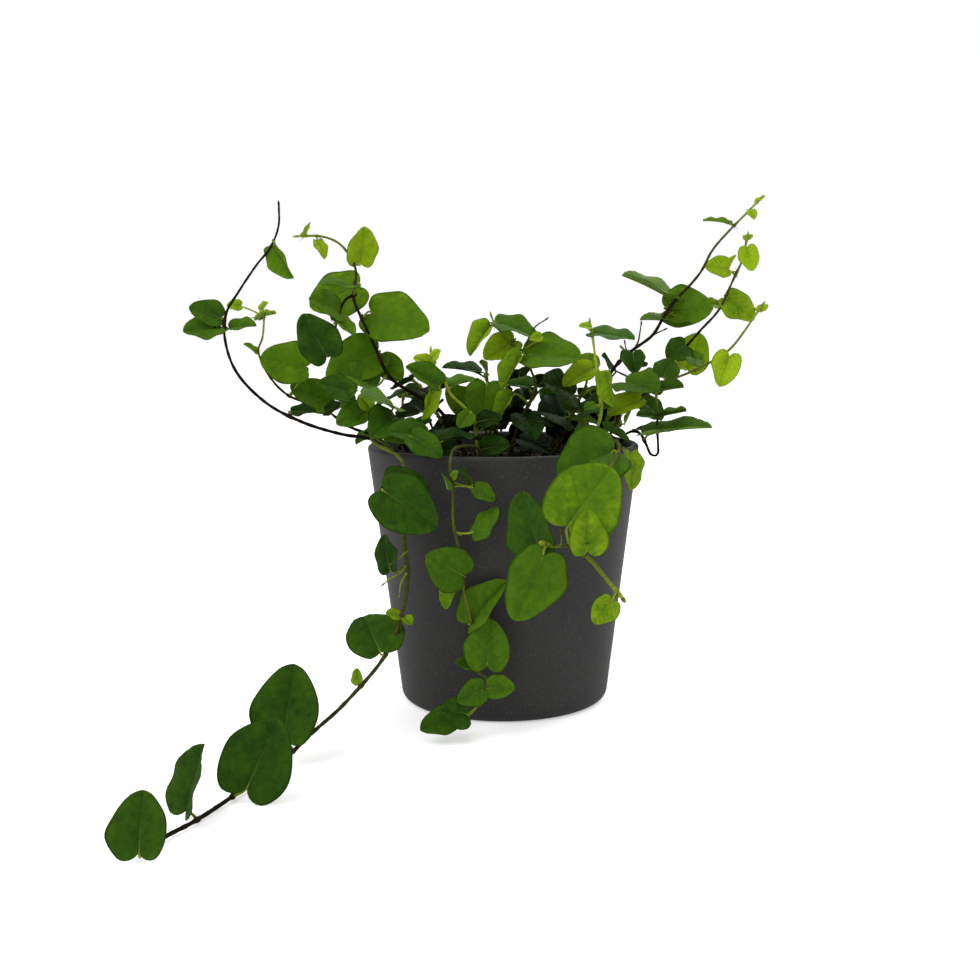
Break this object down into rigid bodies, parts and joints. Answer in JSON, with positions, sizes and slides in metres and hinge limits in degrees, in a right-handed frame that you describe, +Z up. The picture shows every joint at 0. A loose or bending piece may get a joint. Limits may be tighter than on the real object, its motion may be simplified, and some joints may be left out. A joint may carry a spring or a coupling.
{
  "type": "potted creeping fig",
  "caption": "Plain conical dark pot with soil and a creeping fig whose leafy stems climb, arch and trail over the rim down to the surface.",
  "frame": {"origin": "centre of the pot's flat underside", "axes": "+Z up out of the pot, +X to the right seen from the front, where the stem that reaches the surface trails, +Y to the back"},
  "size_m": [0.2511, 0.2708, 0.2219],
  "materials": {
    "pot": "matte, fine pale speckle",
    "soil": "loose, matte",
    "leaf_deep": "satin, waxy",
    "leaf_mid": "satin, waxy",
    "leaf_bright": "satin, waxy"
  },
  "bodies": {
    "root": {"pot": "pot", "soil": "soil", "stem_left_outer": "leaf_mid", "stem_left_inner": "leaf_mid", "stem_left_tall": "leaf_mid", "stem_left_low": "leaf_deep", "stem_front_lip": "leaf_deep", "stem_centre_left": "leaf_bright", "stem_centre_tall": "leaf_mid", "stem_centre_broad": "leaf_deep", "stem_centre_right": "leaf_mid", "stem_right_mass": "leaf_deep", "stem_right_tall": "leaf_mid", "stem_right_mid": "leaf_mid", "stem_right_low": "leaf_bright", "stem_right_side": "leaf_mid", "stem_trail_left": "leaf_deep", "stem_trail_front": "leaf_deep", "stem_trail_right": "leaf_bright", "stem_inner_left": "leaf_deep", "stem_inner_back": "leaf_mid", "stem_inner_mid": "leaf_deep", "stem_inner_right": "leaf_deep", "stem_back_left": "leaf_mid", "stem_back_mid": "leaf_deep", "stem_back_right": "leaf_mid", "stem_back_up": "leaf_mid"}
  },
  "joints": []
}
